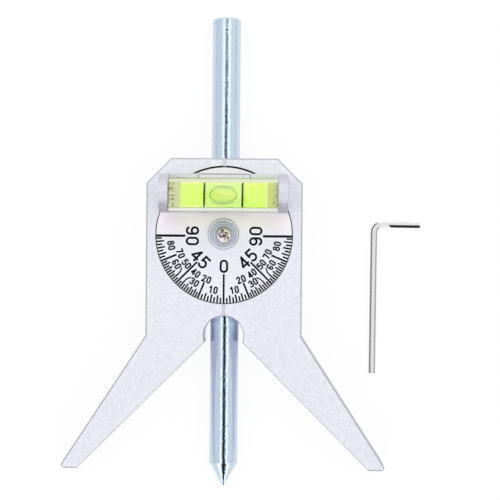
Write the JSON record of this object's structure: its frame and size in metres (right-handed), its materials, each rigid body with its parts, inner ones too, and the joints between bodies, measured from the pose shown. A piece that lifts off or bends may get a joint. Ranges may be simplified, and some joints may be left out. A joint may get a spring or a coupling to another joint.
{
  "type": "pipe center finder",
  "caption": "V-legged aluminium centering head with a sliding center punch, a turning degree dial that carries a level vial, and a hex key for its set screws.",
  "frame": {"origin": "on the back face of the head, under the dial's pivot", "axes": "+X to the right as the dial is read, +Y to the punch's striking end, +Z out of the dial's face; the tool lies on its back"},
  "size_m": [0.1295, 0.1703, 0.0341],
  "materials": {
    "satin_aluminium": "satin blasted and clear anodised",
    "dial_aluminium": "satin anodised, numbers and lines filled in black",
    "zinc_plate": "bright blue zinc plate, drawn along its length",
    "nickel_plate": "bright nickel plate",
    "black_steel": "black oxide",
    "spring_steel": "plain spring steel",
    "brass": "turned",
    "nylon": "moulded",
    "clear_acrylic": "polished clear",
    "vial_liquid": "clear yellow-green liquid",
    "line_black": "printed black",
    "olive_plastic": "moulded translucent olive"
  },
  "bodies": {
    "head": {"head_body": "satin_aluminium", "dial_bush": "zinc_plate", "dial_friction_washer": "spring_steel", "dial_washer": "zinc_plate", "dial_screw": "nickel_plate"},
    "dial": {"dial": "dial_aluminium", "vial_holder": "satin_aluminium", "holder_screws": "zinc_plate", "vial_body": "clear_acrylic", "vial_end_plug": "olive_plastic", "vial_liquid": "vial_liquid", "vial_lines": "line_black"},
    "punch": {"center_punch": "zinc_plate"},
    "dial_lock": {"dial_lock_screw": "black_steel", "dial_lock_tip": "brass"},
    "punch_drag": {"punch_drag_screw": "black_steel", "punch_drag_pad": "nylon"},
    "key": {"hex_key": "nickel_plate"}
  },
  "joints": [
    {"name": "dial_turn", "type": "hinge", "parent": "head", "child": "dial", "pos_m": [0, 0, 0.019], "axis": [0, 0, 1], "continuous": true},
    {"name": "punch_slide", "type": "slide", "parent": "head", "child": "punch", "axis": [0, 1, 0], "range_m": [-0.045, 0.052]},
    {"name": "dial_lock_travel", "type": "slide", "parent": "head", "child": "dial_lock", "axis": [0, 0, 1], "range_m": [-0.0005, 0.0003]},
    {"name": "punch_drag_travel", "type": "slide", "parent": "head", "child": "punch_drag", "axis": [1, 0, 0], "range_m": [0, 0.001]},
    {"name": "key_lift", "type": "slide", "parent": "head", "child": "key", "axis": [0, 0, 1], "range_m": [0, 0.03]}
  ]
}
